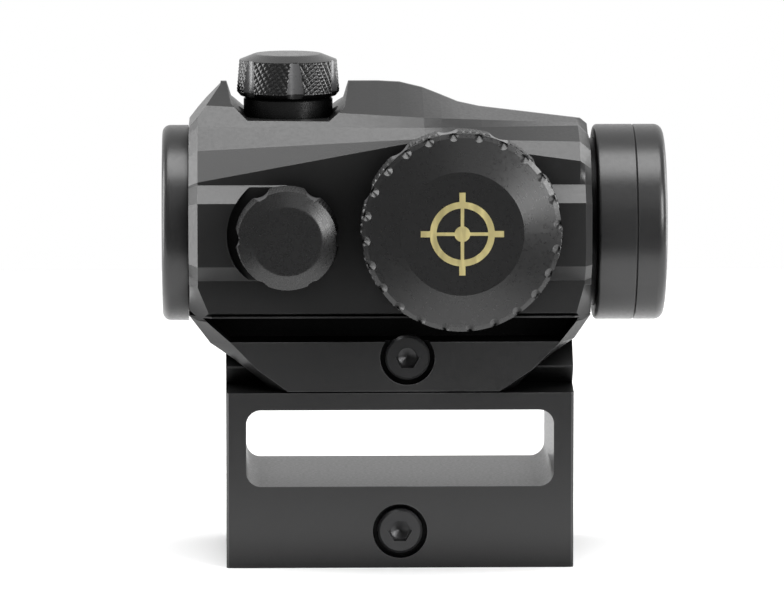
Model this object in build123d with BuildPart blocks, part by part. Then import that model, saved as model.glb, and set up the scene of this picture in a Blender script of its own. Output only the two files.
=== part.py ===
"""Micro red dot sight on a windowed riser mount, an assembly of separate pieces.

Frame: the origin is the centre of the riser's seat on the rail. +X points to the
objective, +Z up, and Y = 0 is the rail's middle plane. The dial is on the -Y side.
Heights named *_up are measured from the optical axis, others from the rail seat.
"""
from build123d import *
import math
import os

os.makedirs("parts", exist_ok=True)

# ---------------------------------------------------------------- driving dimensions (mm)
AXIS_HEIGHT = 35.8          # optical axis above the rail seat
RUN = 0.05                  # radial clearance of a running fit
GAP = 0.25                  # gap between pieces that only pass each other
FAR_CUT = 40.0              # reach of a cut that runs out of the part

# standard dovetail rail
RAIL_TOP_HALF = 7.835
RAIL_WIDE_HALF = 10.605
RAIL_FLANK = RAIL_WIDE_HALF - RAIL_TOP_HALF
RAIL_LAND = 0.2             # upright land at the widest line
RAIL_NECK_HALF = 8.4
RAIL_SLOT_WIDTH = 5.23
RAIL_SLOT_DEPTH = 3.0

# clamp screws and keys
SCREW_RADIUS = 1.5
SCREW_HEAD_RADIUS = 2.75
SCREW_HEAD_HEIGHT = 1.5
SCREW_HEX_FLATS = 2.5
SCREW_HEX_DEPTH = 0.9
SCREW_DRILL_RADIUS = 1.2
SCREW_DRILL_DEPTH = 0.5
COUNTERBORE_RADIUS = 3.35
COUNTERBORE_DEPTH = 1.6
SCREW_END_Y = 12.2
KEY_HALF_WIDTH = 2.5
KEY_HALF_LENGTH = 5.9
KEY_REACH = 2.9             # how far a key stands into the rail's slot
KEY_SEATED = 1.6            # how far a key is let into its seat
KEY_POCKET_HALF = 8.15      # the riser's key pocket crosses the whole seat

# riser mount
RISER_HALF_LENGTH = 21.3
JAW_HALF_WIDTH = 12.6
RISER_BOTTOM = -5.5
RISER_FACE_TOP = 16.15
RISER_RAIL_TOP = 22.0
WINDOW_HALF_LENGTH = 18.85
WINDOW_BOTTOM = 4.6
WINDOW_TOP = 14.05
WINDOW_CORNER = 1.8
RISER_SCREW_HEIGHT = -0.95
HOOK_TIP_HALF = 8.7
BAR_INNER = 8.35
BAR_TOP = 2.75
BAR_POCKET = 8.1

# foot of the sight, heights from the optical axis
FOOT_TOP_UP = -10.2
FOOT_BOTTOM_UP = -19.45
FOOT_FACE_TOP_UP = -13.35
FOOT_SCREW_X = 0.9
FOOT_SCREW_UP = -15.3
SEAT_GAP = 0.03
JAW_TIP_RISE = 0.5          # the foot's jaw tips clear the riser's shoulders
FOOT_SEAT_UP = RISER_RAIL_TOP - AXIS_HEIGHT + SEAT_GAP
FOOT_BAR_TOP_UP = -13.1
FOOT_BEVEL_START = 10.9     # distance from the middle plane where the end bevels begin
UNDERCUT_DEPTH = 6.6

# tube
RING_RADIUS = 12.1
NECK_RADIUS = 10.4
BORE_RADIUS = 9.4
EYEPIECE_END = -29.1
EYEPIECE_FRONT = -25.9
REAR_NECK_END = -26.9
COLLAR_REAR = 24.2
COLLAR_FRONT = 29.1
OBJECTIVE_END = 32.8
FRONT_NECK_END = 26.0
GLASS_RADIUS = 10.3
GLASS_THICKNESS = 1.5
SEAL_THICKNESS = 0.4
LIP_RADIUS = 9.3

# faceted body, stations along the tube
BODY_REAR = -25.8
BODY_REAR_FACETS = -24.7
BODY_MIDDLE = 3.0
BODY_FRONT_FACETS = 22.6
BODY_FRONT = 23.4
HOOD_BEVEL_START = 22.0
REAR_BEVEL = 0.915          # the end section is this much smaller
FRONT_BEVEL = 0.955
HOOD_HALF_BEVEL = 0.955     # the hood's sides fall in earlier at the front
HOOD_FRONT_BEVEL = 0.89
BODY_BOTTOM_UP = -10.4
BODY_EDGE = 0.6             # chamfer along the bottom edge
FACE_HALF = 12.5            # upper and lower side faces
RIB_HALF = 14.5             # face of the side rib
RIB_FACE_UP = 3.9
RIB_BOTTOM_UP = -5.8
RIB_TOP_UP = 5.95
HOOD_TOP_UP = 17.6
HOOD_FALL_START = -2.5
HOOD_FALL_END = 10.1
HOOD_FALL = 3.2
HOOD_FALL_EASE = 1.33
RIDGE_HALF = 0.5
HOOD_FRONT_SLOPE = 0.121
SADDLE_UP = 13.4

# turrets
ELEVATION_X = -13.55
WINDAGE_X = -13.8
TURRET_FLOOR = 12.7         # spot face, from the optical axis
TURRET_NECK_RADIUS = 5.5
TURRET_NECK_TOP = 15.7
SPIGOT_RADIUS = 4.6
SPIGOT_TOP = 19.6
CAP_BOTTOM = 15.85
CAP_TOP = 21.0
CAP_TOP_RADIUS = 4.15
CAP_SHOULDER_RADIUS = 6.05
CAP_BASE_RADIUS = 6.375
CAP_MOUTH_RADIUS = 5.4
CAP_MOUTH_DEPTH = 0.85
CAP_FLUTES = 6
FLUTE_RADIUS = 1.7
FLUTE_DEPTH = 0.55
ELEVATION_SPOT_RADIUS = 6.2
WINDAGE_SPOT_RADIUS = 7.35
SOCKET_RADIUS = 4.0
SOCKET_DEPTH = 1.3
ADJUSTER_RADIUS = 3.6
ADJUSTER_STEM = 2.0
ADJUSTER_FACE = 19.2
ADJUSTER_BACK = 18.2
ADJUSTER_STEM_END = 13.3
ADJUSTER_SLOT = 0.9
ADJUSTER_SLOT_DEPTH = 0.6
PLUNGER_END = 16.2
PLUNGER_ROOM = 0.8

# battery compartment and dial, on the -Y side
DIAL_X = 7.15
DIAL_UP = 1.4
BOSS_RADIUS = 11.0
BOSS_FACE = 18.0            # distances from the middle plane
POCKET_FLOOR = 15.6
POCKET_RADIUS = 10.05
HUB_RADIUS = 11.1
HUB_FACE = 23.1
HUB_FLOOR = 18.25
HUB_STEM_END = 16.7
CELL_RADIUS = 10.0
CELL_THICKNESS = 3.2
CELL_BACK = 18.45
DIAL_RADIUS = 12.2
DIAL_BACK = 19.2
DIAL_FACE = 22.9
DIAL_FLUTES = 12
DIAL_FLUTE_RADIUS = 2.6
DIAL_FLUTE_DEPTH = 0.45
CAP_FACE = 25.5             # battery cap
CAP_DISC_RADIUS = 7.45
CAP_CONE_RADIUS = 11.45
CAP_CONE_END = 24.2
CAP_RIM_RADIUS = 12.0
CAP_RIM_FACE = 23.9
CAP_BACK = 23.2
CAP_PLUG_RADIUS = 10.1
CAP_PLUG_END = 21.8
CAP_PLUG_BORE = 8.7
CAP_NOTCHES = 24
CAP_NOTCH_DEPTH = 0.5
CAP_NOTCH_POINT = 0.06       # radius at the bottom of a notch
CAP_NOTCH_SLOPE = 40
CAP_EDGE = 0.1
SEAL_GROOVE_WIDTH = 0.65
SEAL_GROOVE_DEPTH = 0.5
EMBLEM_DEPTH = 0.25
EMBLEM_RAISED = 0.08
LEAF_INNER = 10.45
LEAF_THICKNESS = 0.25
LEAF_SWEEP = 34
LEAF_BACK = 20.3
LEAF_WIDTH = 1.4
HUB_SCREW_CIRCLE = 8.0
HUB_SCREWS = 3
HUB_SCREW_RADIUS = 0.75
HUB_SCREW_HEAD_RADIUS = 1.4
HUB_SCREW_HEAD_HEIGHT = 0.6
HUB_SCREW_DEPTH = 1.3       # how far a hub screw goes into the housing
HUB_SCREW_SINK = 0.7
LEAD_HOLE_RADIUS = 1.0
CONTACT_RADIUS = 4.2
CONTACT_RISE = 0.17

# optics
OPTICS_RADIUS = 8.6
OPTICS_BORE = 8.1
OPTICS_REAR = -19.0
OPTICS_FRONT = 21.5
PIVOT_X = 18.5
GIMBAL_INNER = 8.78
GIMBAL_OUTER = 9.22
GIMBAL_HALF_WIDTH = 1.6
GIMBAL_PIN_RADIUS = 0.6
GIMBAL_PIN_REACH = 10.35
LENS_REAR = 16.5
LENS_THICKNESS = 2.6
LENS_SAG = 0.7
RETAINER_WIDTH = 0.8
EMITTER_X = -14.0
EMITTER_LENGTH = 4.5
EMITTER_UP = -6.1
EMITTER_RADIUS = 0.75
EMITTER_RECESS = 1.0
EMITTER_FLAT_UP = -4.455
SPRING_LENGTH = 8.0
SPRING_THICKNESS = 0.17
SPRING_MIDDLE = -45
SPRING_HALF_SWEEP = 22

# ---------------------------------------------------------------- shared planes and shapes
axis_origin = Vector(0, 0, AXIS_HEIGHT)
tube_axis = Axis(axis_origin, Vector(1, 0, 0))
tube_section = Plane(origin=axis_origin, x_dir=(0, 0, 1), z_dir=(0, 1, 0))
optical_yz = Plane(origin=axis_origin, x_dir=(0, 1, 0), z_dir=(1, 0, 0))
optical_xz = Plane(origin=axis_origin, x_dir=(1, 0, 0), z_dir=(0, -1, 0))
elevation_plane = Plane(origin=(ELEVATION_X, 0, AXIS_HEIGHT), x_dir=(1, 0, 0), z_dir=(0, 0, 1))
windage_plane = Plane(origin=(WINDAGE_X, 0, AXIS_HEIGHT), x_dir=(1, 0, 0), z_dir=(0, -1, 0))
dial_plane = Plane(origin=(DIAL_X, 0, AXIS_HEIGHT + DIAL_UP), x_dir=(1, 0, 0), z_dir=(0, -1, 0))
riser_screw_plane = Plane(origin=(0, 0, RISER_SCREW_HEIGHT), x_dir=(1, 0, 0), z_dir=(0, -1, 0))
foot_screw_plane = Plane(
    origin=(FOOT_SCREW_X, 0, AXIS_HEIGHT + FOOT_SCREW_UP), x_dir=(1, 0, 0), z_dir=(0, -1, 0)
)


def across(plane):
    """The plane through a turned piece's axis: first coordinate radius, second distance."""
    return Plane(origin=plane.origin, x_dir=plane.x_dir, z_dir=-plane.y_dir)


def axis_of(plane):
    """The axis that a turned piece's outline is revolved about."""
    return Axis(plane.origin, plane.z_dir)


def rectangle(x_low, x_high, y_low, y_high):
    """Corner points of an upright rectangle."""
    return [(x_low, y_low), (x_high, y_low), (x_high, y_high), (x_low, y_high)]


def between(value, low, high, at_low, at_high):
    """Straight-line value between two stations, held beyond them."""
    share = min(max((value - low) / (high - low), 0.0), 1.0)
    return at_low + share * (at_high - at_low)


def save(piece, name):
    """Label a finished piece and write its STEP file."""
    piece.part.label = name
    export_step(piece.part, f"parts/{name}.step")


def save_solids(solids, name):
    """Write a group of separate solids as one node."""
    group = Compound(children=solids)
    group.label = name
    export_step(group, f"parts/{name}.step")


# ---------------------------------------------------------------- riser mount
riser_bar_pocket = [
    (BAR_POCKET, RISER_BOTTOM - 1),
    (BAR_POCKET, BAR_TOP + GAP),
    (FAR_CUT, BAR_TOP + GAP),
    (FAR_CUT, RISER_BOTTOM - 1),
]


def jaw_channel(seat, bottom):
    """Room for a rail: seat, near flanks and open throat, up to the clamp bar's pocket."""
    wide = RAIL_WIDE_HALF + RUN
    return [
        (BAR_POCKET, seat),
        (-RAIL_TOP_HALF - RUN, seat),
        (-wide, seat - RAIL_FLANK),
        (-wide, seat - RAIL_FLANK - RAIL_LAND),
        (-HOOK_TIP_HALF, seat - RAIL_FLANK - RAIL_LAND - (wide - HOOK_TIP_HALF)),
        (-HOOK_TIP_HALF, bottom - 1),
        (BAR_POCKET, bottom - 1),
    ]


def bar_section(seat, top, bottom, tip_rise):
    """Section of a clamp bar, whose V wraps the rail's far edge."""
    wide = RAIL_WIDE_HALF + 2 * RUN
    flank_start = seat - (BAR_INNER - RAIL_TOP_HALF - 2 * RUN)
    tip = seat - RAIL_FLANK - RAIL_LAND - (wide - HOOK_TIP_HALF)
    return [
        (BAR_INNER, top),
        (JAW_HALF_WIDTH, top),
        (JAW_HALF_WIDTH, bottom),
        (HOOK_TIP_HALF, bottom + tip_rise),
        (HOOK_TIP_HALF, tip),
        (wide, seat - RAIL_FLANK - RAIL_LAND),
        (wide, seat - RAIL_FLANK),
        (BAR_INNER, flank_start),
    ]


riser_rail_widest = RISER_RAIL_TOP - RAIL_FLANK - RAIL_LAND
riser_neck_height = riser_rail_widest - (RAIL_WIDE_HALF - RAIL_NECK_HALF)
riser_half_outline = [
    (JAW_HALF_WIDTH, RISER_BOTTOM),
    (JAW_HALF_WIDTH, RISER_FACE_TOP),
    (RAIL_NECK_HALF, riser_neck_height),
    (RAIL_WIDE_HALF, riser_rail_widest),
    (RAIL_WIDE_HALF, riser_rail_widest + RAIL_LAND),
    (RAIL_TOP_HALF, RISER_RAIL_TOP),
]
riser_outline = riser_half_outline + [(-y, z) for y, z in reversed(riser_half_outline)]

with BuildPart() as riser_body:
    with BuildSketch(Plane.YZ):
        Polygon(*riser_outline, align=None)
    extrude(amount=RISER_HALF_LENGTH, both=True)
    corner_edges = riser_body.edges().filter_by(Axis.Z)
    chamfer(corner_edges.filter_by(lambda edge: abs(edge.center().Y) > RAIL_WIDE_HALF + 1), length=0.3)
    # rail channel, clamp bar pocket and the window through the riser
    with BuildSketch(Plane.YZ):
        Polygon(*jaw_channel(0, RISER_BOTTOM), align=None)
        Polygon(*riser_bar_pocket, align=None)
    extrude(amount=FAR_CUT, both=True, mode=Mode.SUBTRACT)
    with BuildSketch(Plane.XZ):
        with Locations((0, (WINDOW_TOP + WINDOW_BOTTOM) / 2)):
            RectangleRounded(2 * WINDOW_HALF_LENGTH, WINDOW_TOP - WINDOW_BOTTOM, WINDOW_CORNER)
    extrude(amount=FAR_CUT, both=True, mode=Mode.SUBTRACT)
    # recoil slot across the upper rail
    with BuildSketch(Plane.XZ):
        Polygon(
            *rectangle(
                FOOT_SCREW_X - RAIL_SLOT_WIDTH / 2,
                FOOT_SCREW_X + RAIL_SLOT_WIDTH / 2,
                RISER_RAIL_TOP - RAIL_SLOT_DEPTH,
                RISER_RAIL_TOP + 1,
            ),
            align=None,
        )
    extrude(amount=FAR_CUT, both=True, mode=Mode.SUBTRACT)
    # key pocket in the seat, cross hole and counterbore
    with BuildSketch(Plane.XZ):
        Polygon(*rectangle(-KEY_HALF_WIDTH - RUN, KEY_HALF_WIDTH + RUN, -1, KEY_SEATED), align=None)
    extrude(amount=KEY_POCKET_HALF, both=True, mode=Mode.SUBTRACT)
    with BuildSketch(riser_screw_plane):
        Circle(SCREW_RADIUS + 2 * RUN)
    extrude(amount=FAR_CUT, both=True, mode=Mode.SUBTRACT)
    with BuildSketch(riser_screw_plane.offset(JAW_HALF_WIDTH - COUNTERBORE_DEPTH)):
        Circle(COUNTERBORE_RADIUS)
    extrude(amount=FAR_CUT, mode=Mode.SUBTRACT)
save(riser_body, "riser_body")

with BuildPart() as riser_clamp_bar:
    with BuildSketch(Plane.YZ):
        Polygon(*bar_section(0, BAR_TOP, RISER_BOTTOM, 0), align=None)
    extrude(amount=RISER_HALF_LENGTH, both=True)
    bar_rim = riser_clamp_bar.faces().sort_by(Axis.Y)[-1].edges()
    chamfer(bar_rim, length=0.4)
    with BuildSketch(riser_screw_plane):
        Circle(SCREW_RADIUS + RUN)
    extrude(amount=FAR_CUT, both=True, mode=Mode.SUBTRACT)
save(riser_clamp_bar, "riser_clamp_bar")


def recoil_key(x_centre, seat, screw_plane):
    """Cross key that fills a rail slot; the clamp screw passes through it."""
    with BuildPart() as key:
        with BuildSketch(Plane.XZ):
            Polygon(
                *rectangle(
                    x_centre - KEY_HALF_WIDTH,
                    x_centre + KEY_HALF_WIDTH,
                    seat - KEY_REACH,
                    seat + KEY_SEATED - RUN,
                ),
                align=None,
            )
        extrude(amount=KEY_HALF_LENGTH, both=True)
        chamfer(key.faces().sort_by(Axis.Z)[0].edges(), length=0.35)
        with BuildSketch(screw_plane):
            Circle(SCREW_RADIUS + 2 * RUN)
        extrude(amount=FAR_CUT, both=True, mode=Mode.SUBTRACT)
    return key


def clamp_screw(screw_plane):
    """Low socket-head screw that crosses the mount and pulls the clamp bar in."""
    head_face = JAW_HALF_WIDTH - COUNTERBORE_DEPTH + SCREW_HEAD_HEIGHT + RUN
    with BuildPart() as screw:
        with BuildSketch(screw_plane.offset(head_face - SCREW_HEAD_HEIGHT)):
            Circle(SCREW_HEAD_RADIUS)
        extrude(amount=SCREW_HEAD_HEIGHT)
        chamfer(screw.edges().sort_by(Axis.Y)[0], length=0.3)
        with BuildSketch(screw_plane.offset(-SCREW_END_Y)):
            Circle(SCREW_RADIUS)
        extrude(amount=SCREW_END_Y + head_face - SCREW_HEAD_HEIGHT)
        chamfer(screw.edges().sort_by(Axis.Y)[-1], length=0.35)
        with BuildSketch(screw_plane.offset(head_face - SCREW_HEX_DEPTH)):
            RegularPolygon(SCREW_HEX_FLATS / 2, 6, major_radius=False)
        extrude(amount=FAR_CUT, mode=Mode.SUBTRACT)
        # drill point below the hexagon socket
        with BuildSketch(screw_plane.offset(head_face - SCREW_HEX_DEPTH + RUN)):
            Circle(SCREW_DRILL_RADIUS)
        with BuildSketch(screw_plane.offset(head_face - SCREW_HEX_DEPTH - SCREW_DRILL_DEPTH)):
            Circle(RUN)
        loft(ruled=True, mode=Mode.SUBTRACT)
    return screw


riser_recoil_key = recoil_key(0, 0, riser_screw_plane)
save(riser_recoil_key, "riser_recoil_key")
riser_clamp_screw = clamp_screw(riser_screw_plane)
save(riser_clamp_screw, "riser_clamp_screw")

# ---------------------------------------------------------------- housing
# ends of the foot, as (x, up): the main outline and the smaller outline of its side faces
foot_outline = [
    (-25.8, FOOT_TOP_UP),
    (23.4, FOOT_TOP_UP),
    (21.4, -13.1),
    (18.7, -15.0),
    (16.4, -16.9),
    (13.9, FOOT_BOTTOM_UP),
    (-15.5, FOOT_BOTTOM_UP),
    (-18.3, -17.2),
    (-20.3, -15.6),
    (-23.2, -13.6),
]
foot_face_outline = [
    (-24.2, FOOT_TOP_UP),
    (22.1, FOOT_TOP_UP),
    (19.5, -13.5),
    (17.9, -15.05),
    (16.25, -16.75),
    (12.2, FOOT_BOTTOM_UP),
    (-13.7, FOOT_BOTTOM_UP),
    (-17.5, -16.7),
    (-18.95, -15.2),
    (-20.5, -13.6),
]
undercut_outline = [
    (-24.1, BODY_BOTTOM_UP),
    (21.9, BODY_BOTTOM_UP),
    (19.6, FOOT_FACE_TOP_UP),
    (-20.8, FOOT_FACE_TOP_UP),
]
# corners at the ends of the body's lower side faces: what is cut away, as (x, up)
rear_corner_root = [(-28.0, -6.4), (-25.75, -6.4), (-25.75, -10.8), (-28.0, -10.8)]
rear_corner_face = [(-28.0, -6.4), (-24.75, -6.4), (-22.8, -10.8), (-28.0, -10.8)]
front_corner_root = [(25.0, -6.4), (23.3, -6.4), (23.3, -10.8), (25.0, -10.8)]
front_corner_face = [(25.0, -6.4), (22.5, -6.4), (21.2, -10.8), (25.0, -10.8)]
saddle_outline = [
    (-21.2, HOOD_TOP_UP + 0.1),
    (-20.6, 15.3),
    (-18.6, SADDLE_UP),
    (-8.6, SADDLE_UP),
    (-6.65, 15.0),
    (-6.1, HOOD_TOP_UP + 0.1),
    (-6.1, FAR_CUT),
    (-21.2, FAR_CUT),
]
rear_slope_outline = [
    (-30.0, 7.0),
    (-25.7, 12.55),
    (-21.9, HOOD_TOP_UP - 0.3),
    (-21.3, FAR_CUT),
    (-30.0, FAR_CUT),
]


def hood_ridge(x):
    """Height of the hood's ridge above the optical axis: level, an eased fall, a long slope."""
    share = between(x, HOOD_FALL_START, HOOD_FALL_END, 0, 1) ** HOOD_FALL_EASE
    eased = share * share * (3 - 2 * share)
    beyond = max(x - HOOD_FALL_END, 0)
    return HOOD_TOP_UP - HOOD_FALL * eased - HOOD_FRONT_SLOPE * beyond


# lines along the hood's side: (half width, up) where each passes the rear, middle and front stations
HOOD_STATIONS = (BODY_REAR_FACETS, BODY_MIDDLE, BODY_FRONT_FACETS)
HOOD_LINES = {
    "brow": ((FACE_HALF, 6.3), (FACE_HALF, 11.4), (FACE_HALF, 8.75)),
    "knee": ((10.2, 9.92), (12.4, 11.58), (10.6, 11.0)),
    "crease": ((8.0, 12.67), (11.2, 12.8), (5.6, 12.5)),
    "eave": ((5.7, 15.15), (9.8, 13.9), (3.0, 12.6)),
}


def hood_line(name, x):
    """Point of one of the hood's lines at a station."""
    first = 0 if x < BODY_MIDDLE else 1
    low, high = HOOD_STATIONS[first], HOOD_STATIONS[first + 1]
    low_half, low_up = HOOD_LINES[name][first]
    high_half, high_up = HOOD_LINES[name][first + 1]
    return between(x, low, high, low_half, high_half), between(x, low, high, low_up, high_up)


def body_half_section(x, hood_share=1.0):
    """Side outline of the body at a station, from the bottom edge up to the hood's ridge."""
    hood = [hood_line(name, x) for name in HOOD_LINES]
    return [
        (FACE_HALF - BODY_EDGE, BODY_BOTTOM_UP),
        (FACE_HALF, BODY_BOTTOM_UP + BODY_EDGE),
        (FACE_HALF, RIB_BOTTOM_UP),
        (RIB_HALF, -RIB_FACE_UP),
        (RIB_HALF, RIB_FACE_UP),
        (FACE_HALF, RIB_TOP_UP),
        *[(y * hood_share, up * hood_share) for y, up in hood],
        (RIDGE_HALF, hood_ridge(x)),
    ]


def body_section(x, scale_share, hood_share):
    """Whole outline of the body at a station, shrunk towards the tube axis, the hood's sides more."""
    half = body_half_section(x, hood_share)
    whole = [(-y, up) for y, up in half] + list(reversed(half))
    return [(y * scale_share, up * scale_share) for y, up in whole]


body_stations = [
    (BODY_REAR, REAR_BEVEL, 1.0),
    (BODY_REAR_FACETS, 1.0, 1.0),
    (HOOD_FALL_START, 1.0, 1.0),
    (0.2, 1.0, 1.0),
    (BODY_MIDDLE, 1.0, 1.0),
    (5.2, 1.0, 1.0),
    (7.4, 1.0, 1.0),
    (HOOD_FALL_END, 1.0, 1.0),
    (HOOD_BEVEL_START, 1.0, 1.0),
    (BODY_FRONT_FACETS, 1.0, HOOD_HALF_BEVEL),
    (BODY_FRONT, FRONT_BEVEL, HOOD_FRONT_BEVEL / FRONT_BEVEL),
]

with BuildPart() as housing:
    for station, shrink, hood_shrink in body_stations:
        with BuildSketch(optical_yz.offset(station)):
            Polygon(*body_section(station, shrink, hood_shrink), align=None)
    loft(ruled=True)
    # the near rib stops at the windage turret and starts again beyond the dial
    with BuildSketch(optical_xz.offset(FACE_HALF)):
        Polygon(*rectangle(WINDAGE_X, DIAL_X, RIB_BOTTOM_UP, RIB_TOP_UP), align=None)
        with Locations((WINDAGE_X, 0)):
            Circle(TURRET_NECK_RADIUS, mode=Mode.SUBTRACT)
    extrude(amount=FAR_CUT, mode=Mode.SUBTRACT)
    # hood: rear slope and the saddle around the elevation turret
    with BuildSketch(optical_xz):
        Polygon(*saddle_outline, align=None)
        Polygon(*rear_slope_outline, align=None)
    extrude(amount=FAR_CUT, both=True, mode=Mode.SUBTRACT)
    # tube necks for the end rings
    with BuildSketch(optical_yz.offset(REAR_NECK_END)):
        Circle(NECK_RADIUS)
    extrude(amount=FRONT_NECK_END - REAR_NECK_END)
    # foot with bevelled ends, on both sides
    with BuildSketch(optical_xz):
        Polygon(*foot_outline, align=None)
    extrude(amount=FOOT_BEVEL_START, both=True)
    for side in (-1, 1):
        with BuildSketch(optical_xz.offset(side * FOOT_BEVEL_START)):
            Polygon(*foot_outline, align=None)
        with BuildSketch(optical_xz.offset(side * JAW_HALF_WIDTH)):
            Polygon(*foot_face_outline, align=None)
        loft(ruled=True)
        with BuildSketch(optical_xz.offset(side * UNDERCUT_DEPTH)):
            Polygon(*undercut_outline, align=None)
        extrude(amount=side * FAR_CUT, mode=Mode.SUBTRACT)
        for root, face in ((rear_corner_root, rear_corner_face), (front_corner_root, front_corner_face)):
            with BuildSketch(optical_xz.offset(side * FOOT_BEVEL_START)):
                Polygon(*root, align=None)
            with BuildSketch(optical_xz.offset(side * JAW_HALF_WIDTH)):
                Polygon(*face, align=None)
            loft(ruled=True, mode=Mode.SUBTRACT)
    # battery boss
    with BuildSketch(dial_plane.offset(FACE_HALF - 2)):
        Circle(BOSS_RADIUS)
    extrude(amount=BOSS_FACE - FACE_HALF + 2)
    # rail channel and clamp bar pocket
    with BuildSketch(optical_yz):
        Polygon(*jaw_channel(FOOT_SEAT_UP, FOOT_BOTTOM_UP), align=None)
        Polygon(
            (BAR_POCKET, FOOT_BOTTOM_UP - 1),
            (BAR_POCKET, FOOT_BAR_TOP_UP + GAP),
            (FAR_CUT, FOOT_BAR_TOP_UP + GAP),
            (FAR_CUT, FOOT_BOTTOM_UP - 1),
            align=None,
        )
        Polygon(
            (-HOOK_TIP_HALF + 1, FOOT_BOTTOM_UP + JAW_TIP_RISE),
            (-HOOK_TIP_HALF, FOOT_BOTTOM_UP + JAW_TIP_RISE),
            (-JAW_HALF_WIDTH, FOOT_BOTTOM_UP),
            (-HOOK_TIP_HALF + 1, FOOT_BOTTOM_UP - 1),
            align=None,
        )
    extrude(amount=FAR_CUT, both=True, mode=Mode.SUBTRACT)
    # key pocket, cross hole and counterbore of the foot's clamp screw
    with BuildSketch(optical_xz):
        Polygon(
            *rectangle(
                FOOT_SCREW_X - KEY_HALF_WIDTH - RUN,
                FOOT_SCREW_X + KEY_HALF_WIDTH + RUN,
                FOOT_SEAT_UP - 1,
                FOOT_SEAT_UP + KEY_SEATED,
            ),
            align=None,
        )
    extrude(amount=KEY_HALF_LENGTH + RUN, both=True, mode=Mode.SUBTRACT)
    with BuildSketch(foot_screw_plane):
        Circle(SCREW_RADIUS + 2 * RUN)
    extrude(amount=FAR_CUT, both=True, mode=Mode.SUBTRACT)
    with BuildSketch(foot_screw_plane.offset(JAW_HALF_WIDTH - COUNTERBORE_DEPTH)):
        Circle(COUNTERBORE_RADIUS)
    extrude(amount=COUNTERBORE_DEPTH + 1, mode=Mode.SUBTRACT)
    # bore of the tube
    with BuildSketch(optical_yz.offset(-FAR_CUT)):
        Circle(BORE_RADIUS)
    extrude(amount=2 * FAR_CUT, mode=Mode.SUBTRACT)
    # turret seats: spot face, socket and plunger hole
    for turret_plane, spot_radius in (
        (elevation_plane, ELEVATION_SPOT_RADIUS),
        (windage_plane, WINDAGE_SPOT_RADIUS),
    ):
        for start, reach, radius in (
            (TURRET_FLOOR, 3.0, spot_radius),
            (TURRET_FLOOR - SOCKET_DEPTH, SOCKET_DEPTH + RUN, SOCKET_RADIUS + RUN),
            (BORE_RADIUS - 2, 4.0, SCREW_RADIUS + RUN),
        ):
            with BuildSketch(turret_plane.offset(start)):
                Circle(radius)
            extrude(amount=reach, mode=Mode.SUBTRACT)
    # sockets of the gimbal's upright pins
    with BuildSketch(Plane(origin=(PIVOT_X, 0, AXIS_HEIGHT), x_dir=(1, 0, 0), z_dir=(0, 0, 1))):
        Circle(GIMBAL_PIN_RADIUS + RUN)
    extrude(amount=GIMBAL_PIN_REACH + RUN, both=True, mode=Mode.SUBTRACT)
    # battery pocket, hub screw holes and the lead hole into the tube
    with BuildSketch(dial_plane.offset(POCKET_FLOOR)):
        Circle(POCKET_RADIUS)
    extrude(amount=FAR_CUT, mode=Mode.SUBTRACT)
    with BuildSketch(dial_plane.offset(POCKET_FLOOR - HUB_SCREW_DEPTH - GAP)):
        with PolarLocations(HUB_SCREW_CIRCLE, HUB_SCREWS, start_angle=90):
            Circle(HUB_SCREW_RADIUS + RUN)
    extrude(amount=2, mode=Mode.SUBTRACT)
    with BuildSketch(dial_plane.offset(BORE_RADIUS - 2)):
        Circle(LEAD_HOLE_RADIUS)
    extrude(amount=POCKET_FLOOR - BORE_RADIUS + 3, mode=Mode.SUBTRACT)
save(housing, "housing")

with BuildPart() as sight_clamp_bar:
    with BuildSketch(optical_xz.offset(-FOOT_BEVEL_START)):
        Polygon(*foot_outline, align=None)
    with BuildSketch(optical_xz.offset(-JAW_HALF_WIDTH)):
        Polygon(*foot_face_outline, align=None)
    loft(ruled=True)
    with BuildSketch(optical_xz):
        Polygon(*foot_outline, align=None)
    extrude(amount=-FOOT_BEVEL_START)
    with BuildSketch(optical_yz.offset(-FAR_CUT)):
        Polygon(*bar_section(FOOT_SEAT_UP, FOOT_BAR_TOP_UP, FOOT_BOTTOM_UP, JAW_TIP_RISE), align=None)
    extrude(amount=2 * FAR_CUT, mode=Mode.INTERSECT)
    with BuildSketch(foot_screw_plane):
        Circle(SCREW_RADIUS + RUN)
    extrude(amount=FAR_CUT, both=True, mode=Mode.SUBTRACT)
save(sight_clamp_bar, "sight_clamp_bar")

sight_recoil_key = recoil_key(FOOT_SCREW_X, AXIS_HEIGHT + FOOT_SEAT_UP, foot_screw_plane)
save(sight_recoil_key, "sight_recoil_key")
sight_clamp_screw = clamp_screw(foot_screw_plane)
save(sight_clamp_screw, "sight_clamp_screw")

# ---------------------------------------------------------------- end rings, windows, seals


def turned(outline, plane):
    """Piece turned about a plane's normal, from (radius, distance) points."""
    with BuildPart() as piece:
        with BuildSketch(across(plane)):
            Polygon(*outline, align=None)
        revolve(axis=axis_of(plane))
    return piece


def ring(inner, outer, start, end, plane, round_over=0.0):
    """Plain ring between two distances, with its outer edges rounded if asked."""
    with BuildPart() as piece:
        with BuildSketch(plane.offset(start)):
            Circle(outer)
            Circle(inner, mode=Mode.SUBTRACT)
        extrude(amount=end - start)
        if round_over:
            fillet(piece.edges().filter_by(GeomType.CIRCLE), radius=round_over)
    return piece


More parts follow.
